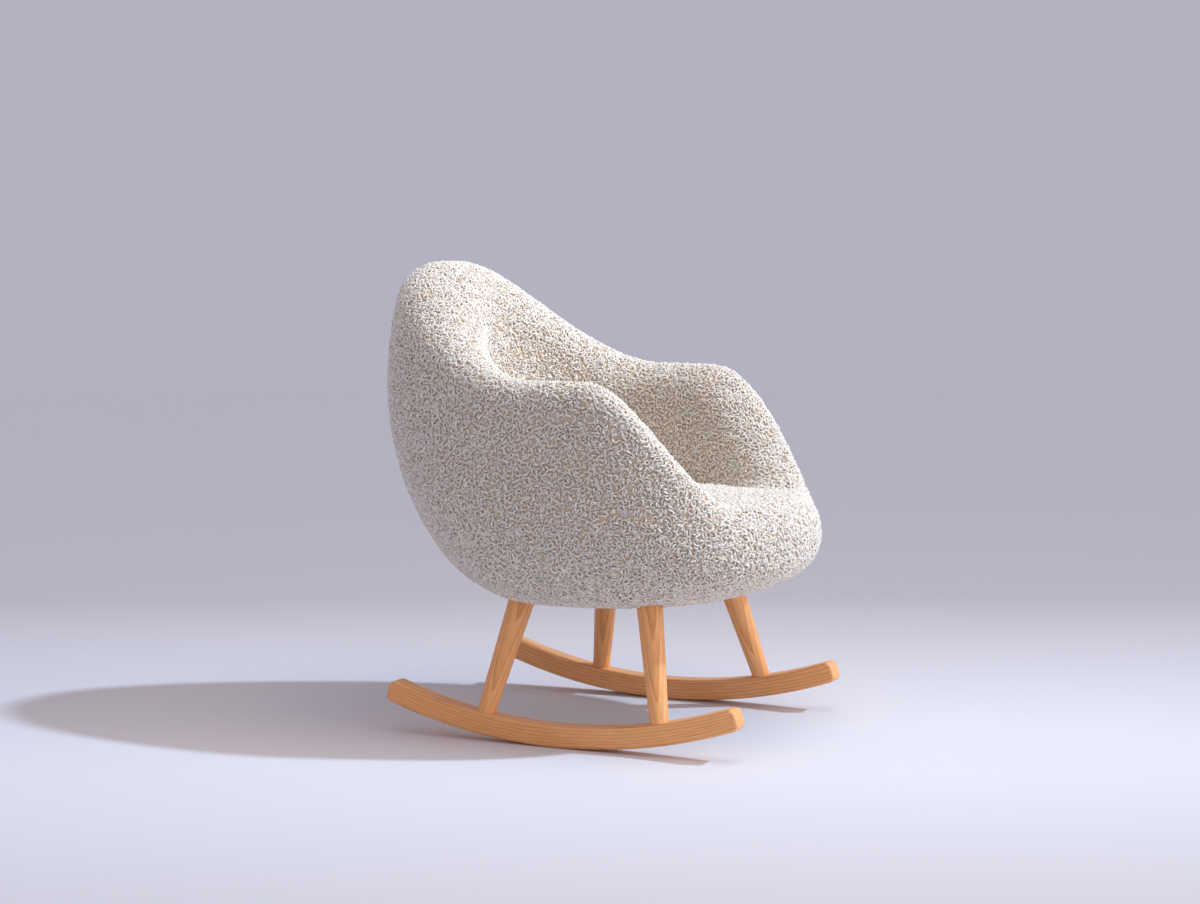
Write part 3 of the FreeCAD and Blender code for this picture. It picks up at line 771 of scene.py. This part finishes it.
def webbing_material():
    """Dark elastic strap with a herringbone weave."""
    make = Shading("elastic_webbing")
    parts = make.parts(make.place())
    slant = make.calculate("PINGPONG", make.calculate("MULTIPLY", parts["X"], 400.0), 1.0)
    slant = make.calculate("MULTIPLY", slant, 3.0)
    weave = make.calculate("SINE", make.calculate("MULTIPLY_ADD", parts["Y"], 2600.0, slant))
    stops = ((0.2, (0.012, 0.011, 0.010)), (0.8, (0.045, 0.040, 0.035)))
    tint = make.ramp(make.between(weave, 0.0, 1.0, -1.0, 1.0), stops)
    make.fill(make.shader, {"Base Color": tint, "Roughness": make.between(weave, 0.6, 0.85, -1.0, 1.0)})
    make.relief(weave, 0.4, 0.0004)
    return make.material


def floor_material(studio, right, away, turn):
    """Pale floor with a long pool of light that fades towards the background."""
    centre = right * 0.4 - away * 0.25
    stretch = (3.3, 1.0, 1.0)
    fade = (0.2, 1.75)
    make = Shading("floor")
    pool = {"Vector": make.place(), "Location": centre, "Rotation": (0.0, 0.0, turn), "Scale": stretch}
    inside = make.node("ShaderNodeMapping", pool, vector_type="TEXTURE").outputs["Vector"]
    far = make.node("ShaderNodeVectorMath", {0: inside}, operation="LENGTH").outputs["Value"]
    stops = ((0.0, studio.floor_near), (1.0, studio.floor_far))
    tint = make.ramp(make.between(far, 0.0, 1.0, *fade), stops)
    make.fill(make.shader, {"Base Color": tint, "Roughness": 1.0, "Specular IOR Level": 0.15})
    return make.material


# Straps and dust cover
def strap_mesh(name, low, high, along):
    """A ribbed strap in the place of its solid; along is 0 where it runs along X and 1 along Y."""
    across = 1 - along
    thick = 0.002
    raised = 0.0933
    ramp = 0.014
    rib_depth = 0.00012
    rib_turns = 12.0
    edge_thinning = 0.6
    edge_power = 12
    ribs = np.linspace(-1.0, 1.0, 49)
    wave = 1.0 + np.cos(ribs * math.pi * rib_turns)
    half = thick / 2.0 * (1.0 - edge_thinning * ribs ** edge_power) - rib_depth * wave
    side = np.concatenate([ribs, ribs[::-1]]) * (high[across] - low[across]) / 2.0
    rise = np.concatenate([half, -half[::-1]])
    run = np.linspace(low[along], high[along], 81)
    step = np.clip((raised + ramp - np.abs(run)) / ramp, 0.0, 1.0) * (high[2] - low[2] - thick)
    count = len(side)
    verts = np.empty((len(run), count, 3))
    verts[:, :, along] = run[:, None]
    verts[:, :, across] = side[None, :] + (low[across] + high[across]) / 2.0
    verts[:, :, 2] = low[2] + thick / 2.0 + step[:, None] + rise[None, :]
    ring = np.arange(count)
    beside = (ring + 1) % count
    strip = np.stack([ring, beside, beside + count, ring + count], axis=1)
    quads = [strip + i * count for i in range(len(run) - 1)]
    rib = np.arange(len(ribs) - 1)
    end = np.stack([rib, rib + 1, count - 2 - rib, count - 1 - rib], axis=1)
    quads += [end[:, ::-1], end + (len(run) - 1) * count]
    return quad_mesh(name, verts.reshape(-1, 3), np.concatenate(quads))


def dust_cover_mesh(form):
    """Thin cloth over the underside: it sags, puckers at its edge and has a turned hem."""
    turns = 160
    inset = 0.0352
    gap = 0.0012
    most_sag = 0.0033
    pucker_depth = 0.0003
    pucker_count = 40.0
    pucker_start = 0.7
    hem_shares = (1.004, 1.0, 0.985, 0.93)
    hem_lifts = (0.0004, 0.0008, 0.0008, 0.0007)
    flat_rows = 26
    shares = np.concatenate([np.linspace(0.04, 1.0, flat_rows), hem_shares])
    lifts = np.concatenate([np.zeros(flat_rows), hem_lifts])
    verts = [(0.0, form.axis_y, form.base_height - gap - most_sag)]
    for index in range(turns):
        turn = 2.0 * math.pi * index / turns
        edge = base_radius(min(turn, 2.0 * math.pi - turn), form) - inset
        pucker = pucker_depth * math.sin(turn * pucker_count)
        for share, lift in zip(shares, lifts):
            sag = most_sag * (1.0 - min(share, 1.0) ** 2)
            radius = edge * share
            height = form.base_height - gap - sag + lift + pucker * max(0.0, share - pucker_start)
            verts.append((radius * math.sin(turn), form.axis_y - radius * math.cos(turn), height))
    rows = len(shares)
    faces = []
    for index in range(turns):
        here = 1 + index * rows
        there = 1 + (index + 1) % turns * rows
        faces.append((0, there, here))
        faces += [(here + k, there + k, there + k + 1, here + k + 1) for k in range(rows - 1)]
    mesh = bpy.data.meshes.new("dust_cover_cloth")
    mesh.from_pydata(verts, [], faces)
    mesh.shade_smooth()
    return mesh


# Pieces
def add_piece(mesh, material, stands_for):
    """Links a new piece, lets it ride on the chair and stand for its solids."""
    mesh.materials.append(material)
    piece = bpy.data.objects.new(mesh.name, mesh)
    bpy.context.scene.collection.objects.link(piece)
    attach(piece, "root")
    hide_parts(*stands_for)
    return piece


def dress(names, material):
    """Gives solids of the frame their material."""
    for name in names:
        mesh = nodes[name].data
        mesh.materials.clear()
        mesh.materials.append(material)


class CHAIR_OT_upholstery(bpy.types.Operator):
    """Padded body with curled boucle yarn, cut into its sewn panels"""

    bl_idname = "chair.upholstery"
    bl_label = "Boucle upholstery"

    def execute(self, context):
        form = context.scene.chair_form
        look = context.scene.chair_boucle
        tucked = 0.004
        enough_shown = 0.9
        surface = upholstery_surface(form)
        points, normals = mesh_arrays(surface)
        quads = quad_corners(surface)
        shown = cloth_shown(points, form)
        ground = points - normals * (shown * look.sink + (1.0 - shown) * tucked)[:, None]
        ground_panel = panel_of(points[quads].mean(axis=1), form)
        rng = np.random.default_rng(look.seed)
        chosen = place_curls(points, look, rng)
        chosen = chosen[shown[chosen] > enough_shown]
        yarns, height, tone = curled_yarns(ground[chosen], normals[chosen], look, rng)
        curl_panel = panel_of(points[chosen], form)
        material = boucle_material(look)
        for index, (name, stands_for) in enumerate(PANELS):
            mine = curl_panel == index
            cloth = quads[ground_panel == index]
            mesh = panel_mesh(name, ground, cloth, yarns[mine], height[mine], tone[mine])
            add_piece(mesh, material, stands_for)
        bpy.data.meshes.remove(surface)
        return {"FINISHED"}


class CHAIR_OT_rockers(bpy.types.Operator):
    """Ash grain along the bend of both rockers and their plugs"""

    bl_idname = "chair.rockers"
    bl_label = "Rockers"

    def execute(self, context):
        look = context.scene.chair_wood
        bend = ash_material("ash_rocker", look, grain_along_bend(look.rocker_radius))
        dress(("rocker_left", "rocker_right", "rocker_plugs"), bend)
        return {"FINISHED"}


class CHAIR_OT_legs(bpy.types.Operator):
    """Ash grain along each turned leg"""

    bl_idname = "chair.legs"
    bl_label = "Legs"

    def execute(self, context):
        look = context.scene.chair_wood
        end = 0.03
        for name in ("leg_front_left", "leg_front_right", "leg_rear_left", "leg_rear_right"):
            points, _ = mesh_arrays(nodes[name].data)
            height = points[:, 2]
            low = points[height < height.min() + end].mean(axis=0)
            high = points[height > height.max() - end].mean(axis=0)
            grain = grain_along_line(low.tolist(), (high - low).tolist())
            dress((name,), ash_material("ash_" + name, look, grain))
        return {"FINISHED"}


class CHAIR_OT_webbing(bpy.types.Operator):
    """Six woven straps under the seat"""

    bl_idname = "chair.webbing"
    bl_label = "Webbing"

    def execute(self, context):
        material = webbing_material()
        for way, along in (("long", 1), ("cross", 0)):
            for index in (1, 2, 3):
                node = f"webbing_{way}_{index}"
                low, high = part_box(node)
                mesh = strap_mesh(f"strap_{way}_{index}", low, high, along)
                piece = add_piece(mesh, material, (node,))
        return {"FINISHED"}


class CHAIR_OT_dust_cover(bpy.types.Operator):
    """Thin cloth that closes the underside"""

    bl_idname = "chair.dust_cover"
    bl_label = "Dust cover"

    def execute(self, context):
        mesh = dust_cover_mesh(context.scene.chair_form)
        piece = add_piece(mesh, dust_cloth_material(), ("dust_cover",))
        return {"FINISHED"}


class CHAIR_OT_frame(bpy.types.Operator):
    """Plywood, moulded fibre and steel of the hidden frame"""

    bl_idname = "chair.frame"
    bl_label = "Frame and fasteners"

    def execute(self, context):
        steel = steel_material()
        dress(("seat_frame", "spacer_blocks"), plywood_material())
        dress(("tub_shell",), fibre_material())
        dress(("rocker_screws", "leg_inserts", "leg_bolts", "leg_washers"), steel)
        dress(("shell_screws", "webbing_staples"), steel)
        return {"FINISHED"}


# Stage
def add_floor(radius, material):
    corners = 96
    height = -0.0005
    turns = [2.0 * math.pi * i / corners for i in range(corners)]
    rim = [(radius * math.cos(turn), radius * math.sin(turn), height) for turn in turns]
    mesh = bpy.data.meshes.new("floor")
    mesh.from_pydata(rim, [], [tuple(range(corners))])
    mesh.materials.append(material)
    floor = bpy.data.objects.new("floor", mesh)
    bpy.context.scene.collection.objects.link(floor)


def add_surroundings(tint):
    world = bpy.data.worlds.new("studio")
    world.use_nodes = True
    background = world.node_tree.nodes["Background"]
    background.inputs["Color"].default_value = (*tint, 1.0)
    background.inputs["Strength"].default_value = 1.0
    bpy.context.scene.world = world


def add_camera(studio, away):
    back = -away * math.cos(studio.elevation)
    back.z = math.sin(studio.elevation)
    camera = bpy.data.objects.new("camera", bpy.data.cameras.new("camera"))
    camera.data.sensor_width = 36.0
    camera.data.lens = studio.lens
    camera.location = Vector(studio.target) + back * studio.distance
    camera.rotation_euler = (-back).to_track_quat("-Z", "Y").to_euler()
    bpy.context.scene.collection.objects.link(camera)
    bpy.context.scene.camera = camera


def add_sun(name, strength, tint, towards, height, width):
    """A far light: the side it stands on, its height over the floor and its width as angles."""
    way = towards.normalized() * math.cos(height)
    way.z = math.sin(height)
    sun = bpy.data.lights.new(name, "SUN")
    sun.energy = strength
    sun.color = tint
    sun.angle = width
    lamp = bpy.data.objects.new(name, sun)
    lamp.rotation_euler = way.to_track_quat("Z", "Y").to_euler()
    bpy.context.scene.collection.objects.link(lamp)


def add_overhead(studio):
    soft = bpy.data.lights.new("overhead", "AREA")
    soft.energy = studio.overhead
    soft.color = studio.soft_colour
    soft.size = studio.overhead_size
    lamp = bpy.data.objects.new("overhead", soft)
    lamp.location = studio.overhead_place
    bpy.context.scene.collection.objects.link(lamp)


class CHAIR_OT_stage(bpy.types.Operator):
    """Floor, surroundings, lights and camera"""

    bl_idname = "chair.stage"
    bl_label = "Studio"

    def execute(self, context):
        studio = context.scene.chair_studio
        turn = studio.azimuth
        right = Vector((math.cos(turn), math.sin(turn), 0.0))
        away = Vector((-math.sin(turn), math.cos(turn), 0.0))
        key_side = right - away * 0.05
        front_side = right - away * 0.2
        camera_side = right * 0.55 - away * 0.85
        fill = (studio.fill_height, studio.fill_width)
        context.scene.view_settings.view_transform = "Standard"
        add_floor(studio.floor_radius, floor_material(studio, right, away, turn))
        add_surroundings(studio.wall)
        add_camera(studio, away)
        add_sun("key", studio.key, studio.key_colour, key_side, studio.key_height, studio.key_width)
        add_sun("front_fill", studio.front_fill, studio.soft_colour, front_side, *fill)
        add_sun("side_fill", studio.side_fill, studio.soft_colour, camera_side, *fill)
        add_overhead(studio)
        return {"FINISHED"}


# Panel, registration and run
SETTINGS = {"chair_form": TubForm, "chair_boucle": BoucleLook, "chair_wood": WoodLook,
            "chair_studio": StudioLook}
OPERATORS = (CHAIR_OT_stage, CHAIR_OT_frame, CHAIR_OT_webbing, CHAIR_OT_dust_cover, CHAIR_OT_upholstery,
             CHAIR_OT_rockers, CHAIR_OT_legs)


class CHAIR_PT_panel(bpy.types.Panel):
    """Lists the chair's making steps and their settings"""

    bl_idname = "CHAIR_PT_panel"
    bl_label = "Rocking chair"
    bl_space_type = "VIEW_3D"
    bl_region_type = "UI"
    bl_category = "Rocking chair"

    def draw(self, context):
        for step in OPERATORS:
            self.layout.operator(step.bl_idname)
        for name, group in SETTINGS.items():
            for key in group.__annotations__:
                self.layout.prop(getattr(context.scene, name), key)


CLASSES = (*SETTINGS.values(), *OPERATORS, CHAIR_PT_panel)


def register():
    for item in CLASSES:
        bpy.utils.register_class(item)
    for name, group in SETTINGS.items():
        setattr(bpy.types.Scene, name, PointerProperty(type=group))


def unregister():
    for name in SETTINGS:
        delattr(bpy.types.Scene, name)
    for item in reversed(CLASSES):
        bpy.utils.unregister_class(item)


def main():
    register()
    bpy.ops.chair.stage()
    bpy.ops.chair.frame()
    bpy.ops.chair.webbing()
    bpy.ops.chair.dust_cover()
    bpy.ops.chair.upholstery()
    bpy.ops.chair.rockers()
    bpy.ops.chair.legs()


if __name__ == "__main__":
    main()
